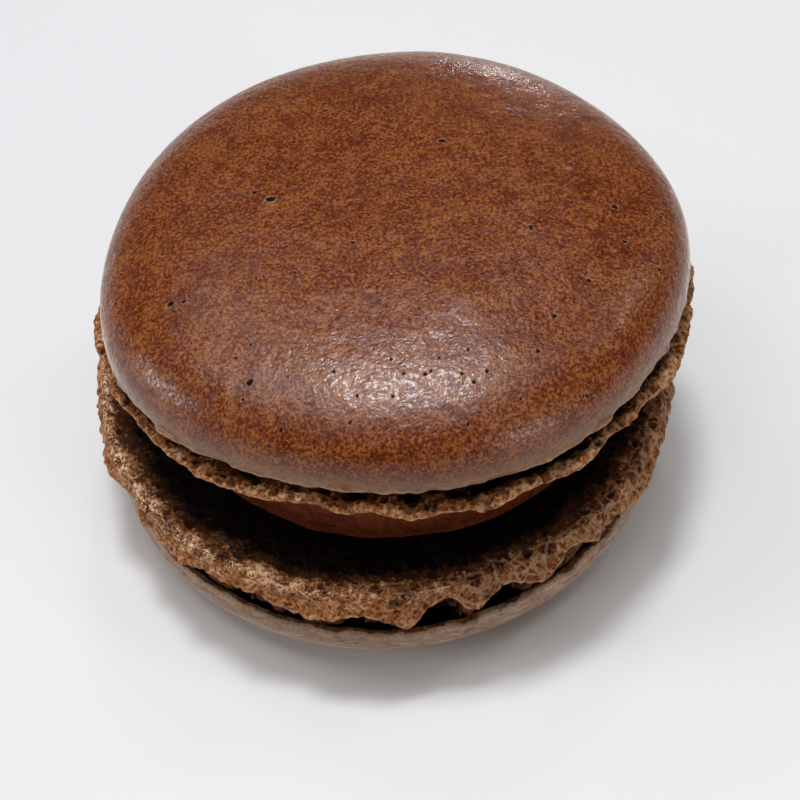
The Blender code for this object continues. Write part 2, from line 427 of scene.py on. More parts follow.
def foot_knots(shell):
    """Knots of the foot's half outline.

    Each is a radius, a height, the share of the ruffle it follows, how rough it is, how far it
    sinks into the open pockets, and how near it is to the thin brim of the lip.
    """
    sink = shell["face_sink"]
    rim, face_radius = shell["rim_radius"], shell["face_radius"]
    slope = rim - face_radius
    lip_radius, lip, thick = shell["lip_radius"], shell["lip_height"], shell["lip_thickness"]
    neck = lip_radius - 0.35 * thick
    back = lip + 0.45 * thick
    crevice_radius, crevice = shell["crevice_radius"], shell["crevice_height"]
    face = [
        (FOOT_HIDDEN_RADIUS, sink, 0.0, 0.2, 0.0, 0.0),
        (face_radius - 1.0, sink, 0.0, 0.6, 0.0, 0.0),
        (face_radius + 0.4 * slope, 0.7 * sink, 0.0, 0.9, 0.0, 0.0),
        (face_radius + 0.75 * slope, 0.2 * sink, 0.1, 1.0, 0.0, 0.0),
        (rim, 0.0, 0.3, 1.0, 0.0, 0.0),
        (0.4 * rim + 0.6 * neck, 0.3 * lip, 0.5, 0.7, 0.0, 0.0),
        (neck, 0.65 * lip, 0.8, 0.5, 0.0, 0.2),
        (lip_radius, lip, 1.0, 0.35, 0.0, 1.0),
    ]
    if shell is UPPER:
        return face + [
            (neck, back, 1.0, 0.9, 0.0, 0.2),
            (neck - 0.45, back + 0.12, 0.8, 1.0, 0.0, 0.0),
            (neck - 1.10, back + 0.14, 0.4, 1.0, 0.45, 0.0),
            (neck - 1.75, back + 0.20, 0.1, 1.0, 1.0, 0.0),
            (crevice_radius, crevice + 0.05, 0.0, 0.8, 0.4, 0.0),
            (crevice_radius - 2.0, crevice + 0.5, 0.0, 0.2, 0.0, 0.0),
        ]
    return face + [
        (neck, back, 1.0, 0.7, 0.0, 0.6),
        (neck - 0.9, back + 0.9, 0.7, 1.0, 0.35, 0.1),
        (neck - 1.45, back + 2.0, 0.3, 1.0, 0.9, 0.0),
        (neck - 1.7, back + 3.2, 0.0, 1.0, 1.0, 0.0),
        (neck - 1.9, back + 4.6, 0.0, 0.6, 0.8, 0.0),
    ]


def pocket_depth(shell, angle, points):
    """From 0 where the crumb reaches up to the crust to 1 in the middle of an open pocket."""
    seed = shell["seed"]
    depth = np.zeros(len(points))
    for centre, half_width, share in UPPER_POCKETS if shell is UPPER else LOWER_POCKETS:
        off = angle_between(angle, centre) / half_width
        depth = np.maximum(depth, share * np.exp(-(off**4)))
    ring = points * (1, 1, 0)
    scatter = smooth_noise(ring, 3.2, seed + 60) + 0.5 * smooth_noise(ring, 1.3, seed + 61)
    far = smooth_step(*LISTED_ARC, np.abs(angle_between(angle, FRONT)))
    depth = np.maximum(depth, smooth_step(0.0, 0.35, scatter) * far)
    crumb = ring if shell is UPPER else points
    bridge = smooth_noise(crumb, 1.1, seed + 62) + 0.35 * smooth_noise(crumb, 0.45, seed + 63)
    return depth * (1 - BRIDGE_STRENGTH * smooth_step(0.30, 0.62, bridge))


def ragged_lip(shell, turn, ragged):
    """Small random movements of the lip, along the axis and outward, for each angle in radians."""
    seed = shell["seed"]
    ring = around_axis(shell["lip_radius"], turn, 0 * turn)
    along = ragged * (layered_noise(ring, 1.5, seed + 41, 3) - 0.2)
    along += 0.9 * ragged * layered_noise(ring, 0.75, seed + 45, 2)
    out = ragged * layered_noise(ring, 1.2, seed + 43, 3)
    return out, along


def foot_grid(shell, outline, angle, ragged):
    """The ruffled foot without its relief: rows along the outline, columns round the axis."""
    turn = np.radians(angle)
    out, along = make_ruffle(shell)(angle)
    ragged_out, ragged_along = ragged_lip(shell, turn, ragged)
    radius, height, share = (outline[:, k : k + 1] for k in range(3))
    edge = np.clip(share, 0, 1) ** 2
    wide = (radius + share * out + edge * ragged_out) * plan_factor(shell, angle)
    tall = height + share * along + edge * ragged_along * shell["drip_direction"]
    return around_axis(wide, turn, tall + 0 * turn)


def on_side(angle, side, low, high):
    """From 0 away from a side of the macaron to 1 on it, by the cosine of the angle between."""
    return smooth_step(low, high, np.cos(np.radians(angle - side)))


def foot_marks(shell, points, radius, on_face, angle, froth_glints):
    """Where the foot is painted in shade towards the filling, painted with glints on its crest, and
    painted darker on one side and lighter on the other.
    """
    jitter = 0.5 * layered_noise(points, 1.6, shell["seed"] + 9, 3)
    rim = shell["rim_radius"]
    # Painted shade towards the filling, under the upper shell.
    painted_inner_shade = 1 - smooth_step(rim - 3.4, rim - 0.4, radius + jitter)
    crest_glints = smooth_step(0.7, 0.15, np.abs(radius + 0.3 * jitter - rim + 0.1))
    painted_side_shade = on_side(angle, SHADED_SIDE, 0.1, 0.9) - 0.5 * on_side(angle, LIT_SIDE, 0.4, 0.9)
    glint_share = on_side(angle, GLINT_SIDE, -0.2, 0.7)
    glint_share = glint_share * (0.55 + 0.45 * on_side(angle, GLINT_PEAK, 0.65, 0.95))
    glint_share = froth_glints * glint_share * (1 - 0.6 * painted_side_shade)
    return {"painted_inner_shade": painted_inner_shade * on_face, "crest_glints": crest_glints * glint_share * on_face, "painted_side_shade": painted_side_shade}


def make_foot(name, shell, columns, counts, relief, material):
    """The ruffled porous foot with the shell's flat face: one closed ring-shaped surface."""
    seed = shell["seed"]
    outline = smooth_curve(foot_knots(shell), counts)
    rows = len(outline)
    ring_angle = np.arange(columns) * 360.0 / columns
    grid = foot_grid(shell, outline, ring_angle, relief["ragged"])
    normal = grid_normals(grid).reshape(-1, 3)
    flat = grid.reshape(-1, 3)
    angle = np.tile(ring_angle, rows)
    radius, _, _, coarse, pocket, brim = (np.repeat(values, columns) for values in outline.T)
    coarse, pocket, brim = (np.clip(values, 0, 1) for values in (coarse, pocket, brim))
    on_face = np.repeat(np.arange(rows) < sum(counts[:FACE_SPANS]), columns) * 1.0

    crag = layered_noise(flat, relief["crag_size"], seed, 3)
    fine = layered_noise(flat, FINE_SIZE, seed + 5, 2)
    large = foam(flat, relief["cell_size"], seed + 7, relief["cell_fill"])
    small = foam(flat, relief["cell_size"] * SMALL_CELL, seed + 17, SMALL_CELL_FILL)
    sunk = relief["cell"] * (large + SMALL_CELL * small)
    lift = relief["crag"] * crag + relief["fine"] * fine - sunk
    moved = flat + normal * (coarse * lift)[:, None]
    hole = pocket * pocket_depth(shell, angle, flat)
    inward, down = relief["pocket"]
    moved[:, :2] *= (1 - hole * inward / shell["crust_radius"])[:, None]
    moved[:, 2] -= hole * down
    moved[:, 2] *= shell["up"]

    # Painted shade: the foot is painted darker in its cells, pockets and holes.
    painted_cavity_shade = coarse * (large * 0.9 + small * 0.5 - 0.25 * crag - 0.2 * fine)
    painted_cavity_shade += 0.35 * pocket + 1.2 * hole
    # shelf_crumb_shade and hole mark where crumb and pockets are painted in shade.
    marks = {"painted_cavity_shade": painted_cavity_shade, "brim": brim, "shelf_crumb_shade": pocket, "hole": hole}
    marks.update(foot_marks(shell, flat, radius, on_face, angle, relief["froth_glints"]))
    faces = ring_faces(rows, columns, shell["up"] < 0)
    return link_mesh(name, moved, faces, placement(shell), material, marks)


# ---------------------------------------- crusts

# Burst bubbles in the upper crust: x and y in the shell's frame, radius, length over width, turn.
UPPER_PITS = (
    (-9.20, 0.46, 0.30, 1.25, 10.0),
    (-10.48, 1.61, 0.20, 1.2, 0.0),
    (-4.72, 11.39, 0.18, 1.3, 10.0),
    (-12.63, 11.13, 0.16, 1.2, 0.0),
    (-17.02, -8.92, 0.22, 1.3, 20.0),
    (-15.99, -9.06, 0.16, 1.0, 0.0),
    (-2.89, -5.43, 0.16, 1.2, 0.0),
    (-7.40, -7.88, 0.14, 1.0, 0.0),
    (-11.01, -17.13, 0.20, 1.4, 35.0),
    (4.67, 5.93, 0.22, 1.4, 0.0),
    (17.68, -1.91, 0.24, 1.1, 0.0),
    (21.35, -1.96, 0.16, 1.1, 0.0),
    (17.99, -5.65, 0.16, 1.3, 0.0),
    (20.41, -7.56, 0.16, 1.0, 0.0),
    (11.69, -13.50, 0.18, 1.2, 15.0),
    (10.19, -16.63, 0.16, 1.0, 0.0),
    (14.70, -10.04, 0.16, 1.2, 0.0),
    (10.83, -4.75, 0.14, 2.2, 90.0),
    (-10.85, -14.15, 0.10, 1.0, 0.0),
    (-12.00, -15.01, 0.11, 1.2, 0.0),
    (-11.60, -18.19, 0.11, 1.0, 0.0),
    (-8.91, -20.67, 0.13, 1.2, 0.0),
    (-4.78, -17.43, 0.12, 1.0, 0.0),
    (-3.20, -19.46, 0.10, 1.0, 0.0),
    (-0.61, -19.76, 0.11, 1.0, 0.0),
    (-3.84, -21.19, 0.12, 1.0, 0.0),
    (-0.56, -16.91, 0.10, 1.0, 0.0),
    (0.31, -18.11, 0.10, 1.2, 0.0),
    (1.82, -18.31, 0.14, 1.0, 0.0),
    (2.93, -17.10, 0.10, 1.0, 0.0),
    (2.27, -18.10, 0.10, 1.0, 0.0),
    (4.49, -18.46, 0.13, 1.0, 0.0),
    (5.09, -16.54, 0.11, 1.0, 0.0),
    (6.32, -18.34, 0.14, 1.0, 0.0),
    (5.30, -19.14, 0.11, 1.3, 0.0),
    (4.62, -21.92, 0.12, 1.0, 0.0),
    (8.60, -20.19, 0.10, 1.0, 0.0),
    (14.55, 3.94, 0.09, 1.0, 0.0),
    (16.90, -11.34, 0.08, 1.0, 0.0),
    (13.55, -18.96, 0.12, 1.0, 0.0),
)
PIT_DEPTH = 1.6  # of a pit's radius
PIT_LIP = 0.10  # the height of its raised lip, of its radius
PIT_REACH = 0.35  # at least so far round a pit the mesh is cut finer

# Stains of the upper crust: x and y in the shell's frame, half length, half width, strength.
# A strength above 0 is red-brown and one below 0 is pale.
UPPER_STAINS = (
    (14.75, -2.86, 0.45, 0.35, 0.9),
    (16.12, -5.12, 0.70, 0.45, 1.0),
    (15.10, -4.60, 0.30, 0.25, 0.7),
    (10.55, 0.54, 1.40, 0.18, 0.7),
    (-2.21, -23.08, 1.60, 0.80, 0.5),
    (14.53, 2.25, 0.35, 0.32, -1.0),
)

# Shallow swellings of the upper crust: x and y, both half sizes, height.
UPPER_SWELLS = (
    (5.3, -12.2, 2.4, 2.4, 0.22),
    (-7.5, -11.0, 3.5, 3.5, 0.10),
    (0.5, -14.5, 2.5, 2.5, 0.06),
    (9.5, 6.5, 4.0, 4.0, 0.10),
    (-14.0, 2.0, 5.0, 5.0, -0.10),
)
# Smoother spots of the upper crust near its back edge: x and y, both half sizes, strength.
UPPER_GLOSSES = (
    (6.2, 17.9, 1.5, 1.5, 1.0),
    (9.8, 16.3, 1.7, 1.7, 1.0),
    (12.6, 15.0, 1.5, 1.5, 1.0),
)

UPPER_MARKS = dict(pits=UPPER_PITS, stains=UPPER_STAINS, swells=UPPER_SWELLS, glosses=UPPER_GLOSSES)
LOWER_MARKS = dict(pits=(), stains=(), swells=(), glosses=())

CRUST_STEPS = 400  # points of the crown's curve
ROLL_STEPS = 12  # points of each span of the rolled edge
CRUST_EDGE_STEP = CRUST_STEPS - 1 + 4 * ROLL_STEPS  # the point where the crust turns in
UPPER_CRUST_COUNT = 270  # points along each side of a crust's square grid
LOWER_CRUST_COUNT = 200


def crust_curve(shell):
    """The crust's half outline by arc length, from the crown's middle into the crevice."""
    power, widest = shell["crown_power"], shell["crust_radius"]
    widest_height = shell["widest_height"]
    inset, rise = shell["roll_inset"], shell["roll_height"]
    turn = np.linspace(math.pi / 2, 0, CRUST_STEPS)
    radius = widest * np.cos(turn) ** (2 / power)
    height = widest_height + shell["crown_height"] * np.sin(turn) ** (2 / power)
    if shell["flat_spot"]:
        height = np.minimum(height, lower_height())
    edge_radius, edge_height = widest - inset, widest_height - rise
    roll = smooth_curve(
        [
            (widest, widest_height),
            (edge_radius + 0.92 * inset, edge_height + 0.6 * rise),
            (edge_radius + 0.6 * inset, edge_height + 0.22 * rise),
            (edge_radius + 0.2 * inset, edge_height + 0.02 * rise),
            (edge_radius - 0.25, edge_height + 0.05),
            shell["crust_end"],
        ],
        [ROLL_STEPS] * 5,
    )
    radius = np.concatenate([radius, roll[1:, 0]])
    height = np.concatenate([height, roll[1:, 1]])
    length = np.concatenate([[0], np.cumsum(np.hypot(np.diff(radius), np.diff(height)))])
    return length, radius, height


def disc_grid(count):
    """A square grid laid over a disc: shares of the radius, and angles in degrees."""
    line = np.linspace(-1, 1, count)
    a, b = np.meshgrid(line, line)
    wide = np.abs(a) > np.abs(b)
    with np.errstate(divide="ignore", invalid="ignore"):
        turn = np.where(wide, math.pi / 4 * b / a, math.pi / 2 - math.pi / 4 * a / b)
    share = np.where(wide, a, b)
    turn = np.where(np.isnan(turn), 0, turn)
    turn = np.where(share < 0, turn + math.pi, turn)
    return np.abs(share).ravel(), np.degrees(turn).ravel()


def square_faces(count, flip):
    """Quads of a square grid, and one face over the open side that its border leaves."""
    row = np.arange(count - 1)[:, None] * count
    corner = row + np.arange(count - 1)[None, :]
    quads = np.stack([corner, corner + 1, corner + count + 1, corner + count], axis=2)
    bottom = list(range(count))
    right = [index * count + count - 1 for index in range(1, count)]
    top = [(count - 1) * count + index for index in range(count - 2, -1, -1)]
    left = [index * count for index in range(count - 2, 0, -1)]
    faces = quads.reshape(-1, 4).tolist()
    faces.append((bottom + right + top + left)[::-1])
    return [face[::-1] for face in faces] if flip else faces


def spots(points, rows):
    """The sum of soft oval spots, each an x and y, a half length, a half width and a strength."""
    total = np.zeros(len(points))
    for x, y, half_length, half_width, strength in rows:
        far = ((points[:, 0] - x) / half_length) ** 2 + ((points[:, 1] - y) / half_width) ** 2
        total += strength * np.exp(-far)
    return total


def push_out(points, turn, distance):
    """Moves points away from the axis, which they surround at the angles turn."""
    points[:, 0] += distance * np.cos(turn)
    points[:, 1] += distance * np.sin(turn)


def chip_edge(shell, points, turn, inside):
    """Makes the crust's lower edge uneven; inside is how far a point lies past that edge."""
    ring = points * (1, 1, 0)
    chip = shell["edge_chips"] * layered_noise(ring, 1.8, shell["seed"] + 11, 3)
    chip = chip * smooth_step(-2.0, -1.1, inside) * (1 - 0.8 * smooth_step(-0.4, 0.3, inside))
    points[:, 2] += 0.8 * chip
    push_out(points, turn, chip)


def slow_swell(shell, points):
    """The unevenness of the crust in millimetres, which fades out on a flat spot."""
    seed = shell["seed"]
    swell = 0.10 * layered_noise(points, 9.0, seed + 3, 2)
    swell += 0.014 * layered_noise(points, 1.3, seed + 5, 2)
    if shell["flat_spot"]:
        swell *= np.clip((lower_height() - points[:, 2]) / 0.6, 0, 1)
    return swell


def make_crust(name, shell, count, material, recess_shade, marks):
    """The smooth crust with its rolled edge: a closed surface on a square grid laid over a disc."""
    length, radius, height = crust_curve(shell)
    share, angle = disc_grid(count)
    reach = share * length[-1]
    turn = np.radians(angle)
    wide = np.interp(reach, length, radius) * plan_factor(shell, angle)
    tall = np.interp(reach, length, height)
    points = around_axis(wide, turn, tall)
    inside = reach - length[CRUST_EDGE_STEP]
    past_widest = reach - length[CRUST_STEPS - 1]
    swell = slow_swell(shell, points)
    chip_edge(shell, points, turn, inside)
    swell += spots(points, marks["swells"])
    points[:, 2] += swell
    push_out(points, turn, swell * np.clip((past_widest + 0.5) / 2.0, 0, 1))
    points[:, 2] *= shell["up"]

    rim = past_widest / (length[-1] - length[CRUST_STEPS - 1])
    attributes = {
        "rim": np.where(rim > 0, rim, np.clip(past_widest / 4.0, -3, 0)),
        "gloss": np.minimum(spots(points, marks["glosses"]), 1),
        "inside": inside,
        "stain": spots(points, marks["stains"]),
    }
    faces = square_faces(count, shell["up"] < 0)
    piece = link_mesh(name, points, faces, placement(shell), material, attributes)
    piece.data.materials.append(recess_shade)
    # Faces past the crust's edge take the recess material, painted mostly black as shade.
    beyond = [int(inside[face].mean() > 0.05) for face in faces]
    piece.data.polygons.foreach_set("material_index", beyond)
    if marks["pits"]:
        sink_pits(piece, shell, marks["pits"])
    return piece


def pit_edges(seats, shell, pits):
    """The edges of the crust's quads round the pits."""
    edges = set()
    for x, y, size, stretch, _ in pits:
        reach = max(size * stretch * 1.7, PIT_REACH)
        for vert, seat in seats.items():
            near = abs(seat.x - x) < reach and abs(seat.y - y) < reach
            if not near or seat.z <= shell["widest_height"]:
                continue
            for edge in vert.link_edges:
                if max(len(face.verts) for face in edge.link_faces) < 5:
                    edges.add(edge)
    return edges


def pit_relief(index, pit, dx, dy):
    """A place beside a pit: how far it rises, and how much it is in the hole and on its lip."""
    _, _, size, stretch, turn = pit
    a = math.radians(turn)
    u = (dx * math.cos(a) + dy * math.sin(a)) / stretch
    v = -dx * math.sin(a) + dy * math.cos(a)
    around = math.atan2(v, u)
    rough = 1 + 0.10 * math.sin(3 * around + index) + 0.05 * math.sin(5 * around + 2 * index)
    far = math.hypot(u, v) / (size * rough)
    rise = PIT_LIP * size * math.exp(-((far - 1.25) / 0.25) ** 2)
    if far < 1:
        rise -= PIT_DEPTH * size * (1 - far * far) ** 0.5
    hole = min(1.0, max(0.0, (1.08 - far) / 0.25))
    lip = math.exp(-((far - 1.3) / 0.22) ** 2)
    return rise, hole, lip


def sink_pits(piece, shell, pits):
    """Burst bubbles: the mesh is cut finer round each pit and sunk into a small round hole."""
    to_world = placement(shell)
    to_shell = to_world.inverted()
    mesh = bmesh.new()
    mesh.from_mesh(piece.data)
    mark = mesh.verts.layers.float.new("pit")
    seats = {vert: to_shell @ (vert.co / MM) for vert in mesh.verts}
    edges = sorted(pit_edges(seats, shell, pits), key=lambda edge: edge.index)
    bmesh.ops.subdivide_edges(mesh, edges=edges, cuts=3, use_grid_fill=True)
    for vert in mesh.verts:
        seat = to_shell @ (vert.co / MM)
        if seat.z < shell["widest_height"]:
            continue
        for index, pit in enumerate(pits):
            dx, dy = seat.x - pit[0], seat.y - pit[1]
            if abs(dx) + abs(dy) > max(4 * pit[2] * pit[3], PIT_REACH):
                continue
            rise, hole, lip = pit_relief(index, pit, dx, dy)
            seat.z += rise
            vert.co = (to_world @ seat) * MM
            vert[mark] = max(vert[mark], hole) or -lip
    mesh.to_mesh(piece.data)
    mesh.free()
    piece.data.shade_smooth()


# ---------------------------------------- ganache

GANACHE_COLUMNS = 360
GANACHE_COUNTS = (5, 5, 18, 18, 5, 5)
GANACHE_NOISE_HEIGHT = 8.0  # the height over which the side's unevenness is worked out
GANACHE_SEED = 91


def make_ganache(name, material):
    """The filling, reaching just into both shells so that no gap shows."""
    place = upper_placement()
    centre = place @ Vector((0, 0, UPPER["face_sink"]))
    normal = place.to_3x3() @ Vector((0, 0, 1))
    outline = smooth_curve(
        [
            (GANACHE_RADIUS - 1.5, 0.0),
            (GANACHE_RADIUS - 0.15, 0.04),
            (GANACHE_RADIUS, 0.12),
            (GANACHE_RADIUS + GANACHE_BULGE, 0.5),
            (GANACHE_RADIUS, 0.88),
            (GANACHE_RADIUS - 0.15, 0.96),
            (GANACHE_RADIUS - 1.5, 1.0),
        ],
        GANACHE_COUNTS,
    )
    turn = np.radians(np.arange(GANACHE_COLUMNS) * 360.0 / GANACHE_COLUMNS)
    radius, rise = outline[:, 0:1], outline[:, 1:2]
    tall = rise * GANACHE_NOISE_HEIGHT + 0 * turn
    flat = around_axis(radius, turn, tall).reshape(-1, 3)
    wobble = 0.22 * layered_noise(flat * (1, 1, 0.6), 5.0, GANACHE_SEED, 3)
    wobble += 0.02 * layered_noise(flat, 0.7, GANACHE_SEED + 1, 2)
    wide = np.hypot(flat[:, 0], flat[:, 1])
    flat[:, :2] *= (1 + wobble / wide)[:, None]
    flat[:, :2] += GANACHE_CENTRE
    slope = normal.x * (flat[:, 0] - centre.x) + normal.y * (flat[:, 1] - centre.y)
    ceiling = centre.z - slope / normal.z
    share = np.repeat(rise, GANACHE_COLUMNS)
    flat[:, 2] = ganache_floor() + share * (ceiling - ganache_floor())
    faces = ring_faces(len(outline), GANACHE_COLUMNS, False)
    return link_mesh(name, flat, faces, Matrix.Identity(4), material)


# ---------------------------------------- materials


class Surface:
    """A new node material, with short ways to add the nodes used here."""

    def __init__(self, name, roughness):
        self.material = bpy.data.materials.new(name)
        self.material.use_nodes = True
        self.nodes = self.material.node_tree.nodes
        self.links = self.material.node_tree.links
        self.shader = self.nodes["Principled BSDF"]
        self.set("Roughness", roughness)
        self.place = self.add("TexCoord").outputs["Object"]

    def add(self, kind, **values):
        """A new node, with values for some of its inputs."""
        node = self.nodes.new("ShaderNode" + kind)
        for socket, value in values.items():
            node.inputs[socket].default_value = value
        return node

    def set(self, socket, value):
        """Sets one of the shader's own sockets."""
        self.shader.inputs[socket].default_value = value

    def noise(self, size_mm, detail=2.0, rough=0.55, flatten=1.0):
        """Noise of a size, squeezed in height where flatten is above 1."""
        node = self.add("TexNoise", Scale=1 / (size_mm * MM), Detail=detail, Roughness=rough)
        squeeze = self.add("Mapping", Scale=(1, 1, flatten))
        self.links.new(self.place, squeeze.inputs["Vector"])
        self.links.new(squeeze.outputs["Vector"], node.inputs["Vector"])
        return node.outputs["Fac"]

    def cells(self, size_mm, feature="F1"):
        """The distance to the middle of a random cell, or to its wall with DISTANCE_TO_EDGE."""
        node = self.add("TexVoronoi", Scale=1 / (size_mm * MM))
        node.feature = feature
        self.links.new(self.place, node.inputs["Vector"])
        return node.outputs["Distance"]

    def attribute(self, name):
        node = self.add("Attribute")
        node.attribute_name = name
        return node.outputs["Fac"]

    def math(self, operation, a, b=0.0, c=0.0, clamp=False):
        """A math node on sockets and numbers."""
        node = self.add("Math")
        node.operation = operation
        node.use_clamp = clamp
        for socket, value in zip(node.inputs, (a, b, c)):
            if isinstance(value, (int, float)):
                socket.default_value = value
            else:
                self.links.new(value, socket)
        return node.outputs[0]

    def product(self, a, b):
        return self.math("MULTIPLY", a, b)

    def frayed(self, value, noise, amount):
        """The value, raised and lowered by noise about its middle."""
        return self.math("MULTIPLY_ADD", self.math("ADD", noise, -0.5), amount, value)

    def scaled(self, value, low, high, to_low=0.0, to_high=1.0):
        """The value, taken from one range to another by a smooth step and kept inside it."""
        values = {"From Min": low, "From Max": high, "To Min": to_low, "To Max": to_high}
        node = self.add("MapRange", **values)
        node.interpolation_type = "SMOOTHSTEP"
        self.links.new(value, node.inputs["Value"])
        return node.outputs["Result"]

    def ramp(self, value, stops):
        """A colour for each value, between stops of a position and a colour."""
        node = self.add("ValToRGB")
        elements = node.color_ramp.elements
        while len(elements) < len(stops):
            elements.new(0.5)
        for element, (position, colour) in zip(elements, stops):
            element.position = position
            element.color = (*colour, 1)
        self.links.new(value, node.inputs["Fac"])
        return node.outputs["Color"]

    def mix(self, share, a, b):
        """Colour a, with a share of colour b over it."""
        node = self.add("Mix")
        node.data_type = "RGBA"
        self.links.new(share, node.inputs["Factor"])
        for socket, value in ((node.inputs["A"], a), (node.inputs["B"], b)):
            if isinstance(value, tuple):
                socket.default_value = (*value, 1)
            else:
                self.links.new(value, socket)
        return node.outputs["Result"]

    def colour(self, value):
        self.links.new(value, self.shader.inputs["Base Color"])

    def rough(self, value):
        self.links.new(value, self.shader.inputs["Roughness"])

    def bump(self, layers):
        """Bumps of a height in millimetres, one on another."""
        below = None
        for value, height_mm in layers:
            node = self.add("Bump", Distance=height_mm * MM)
            self.links.new(value, node.inputs["Height"])
            if below is not None:
                self.links.new(below, node.inputs["Normal"])
            below = node.outputs["Normal"]
        self.links.new(below, self.shader.inputs["Normal"])


def crust_material(name, look):
    """A fine crust: red-brown grain, pale specks, a greyer edge that is partly dust and partly
    painted reflection, a painted highlight line, and painted shade in pits and crevice.
    """
    surface = Surface(name, look["roughness"])
    surface.set("Specular IOR Level", look["specular"])
    surface.set("Sheen Weight", 0.7)
    surface.set("Sheen Roughness", 0.26)
    surface.set("Sheen Tint", (1.0, 0.85, 0.70, 1))
    grain = surface.noise(0.25, 2.5, 0.72)
    patches = surface.noise(3.0, 3.0)
    blotches = surface.noise(1.1, 2.0)
    stain, rim, pit, inside = map(surface.attribute, ("stain", "rim", "pit", "inside"))

    mixed = surface.math("MULTIPLY_ADD", patches, 0.14, surface.product(grain, 0.70))
    mixed = surface.math("MULTIPLY_ADD", blotches, 0.14, mixed)
    tone = surface.ramp(mixed, look["grain"])
    tone = surface.mix(surface.scaled(stain, 0.1, 1.0, 0.0, 0.8), tone, look["dark"])
    tone = surface.mix(surface.scaled(stain, -0.1, -1.0, 0.0, 0.6), tone, look["pale"])
    # The greyer tone down the edge is partly dust and partly painted reflection of the pale floor
    # at grazing angles.
    dust_and_reflection = surface.scaled(rim, -0.45, 0.1)
    dust_and_reflection = surface.product(dust_and_reflection, surface.scaled(patches, 0.25, 0.6, 0.6, 0.85))
    tone = surface.mix(dust_and_reflection, tone, look["rim"])

    # Down the edge: a thin pale line of painted highlight, then crumb, then painted shade for the
    # dark of the crevice.
    ragged = surface.frayed(inside, blotches, 0.9)
    line = surface.scaled(ragged, look["edge"], look["edge"] + 0.3)
    line = surface.product(line, surface.scaled(grain, 0.35, 0.6, 0.2, 0.8))
    tone = surface.mix(line, tone, look["pale"])
    crumb = surface.ramp(grain, ((0.4, (0.05, 0.014, 0.004)), (0.6, (0.22, 0.085, 0.030))))
    torn = surface.scaled(ragged, look["edge"] + 0.60, look["edge"] + 0.80)
    tone = surface.mix(torn, tone, crumb)
    # Painted shade: past the edge the crust is painted near black for the dark of the crevice.
    tone = surface.mix(surface.scaled(ragged, -0.05, 0.15), tone, (0.020, 0.006, 0.003))

    # Pits have pale lips, and their holes are darkened with painted shade.
    tone = surface.mix(surface.scaled(pit, -0.2, -1.0, 0.0, 0.4), tone, look["pale"])
    tone = surface.mix(surface.scaled(pit, 0.1, 0.7), tone, (0.010, 0.002, 0.001))

    if look["streaks"]:
        scratches = surface.noise(2.6, 3.0, 0.7, 9.0)
        scratches = surface.scaled(scratches, 0.53, 0.66, 0.0, look["streaks"])
        tone = surface.mix(scratches, tone, look["pale"])
        crumbs = surface.noise(1.3, 3.0, 0.7, 2.5)
        crumbs = surface.scaled(crumbs, 0.45, 0.33, 0.0, look["streaks"])
        tone = surface.mix(crumbs, tone, look["dark"])
    surface.colour(tone)

    speckles = surface.noise(0.35, 2.0, 0.6)
    rough = surface.scaled(speckles, 0.40, 0.60, look["roughness"] + 0.10, look["roughness"] - 0.10)
    rough = surface.math("MULTIPLY_ADD", surface.attribute("gloss"), -0.2, rough)
    dull = surface.math("MAXIMUM", surface.scaled(pit, 0.0, 0.4), surface.scaled(inside, -0.1, 0.1))
    surface.rough(surface.math("ADD", rough, dull, clamp=True))
    waves = surface.noise(1.6, 2.0)
    ripples = surface.noise(0.5, 2.0, 0.6)
    dimples = surface.noise(0.22, 1.0)
    surface.bump(((waves, 0.13), (ripples, 0.025), (dimples, 0.03)))
    return surface.material


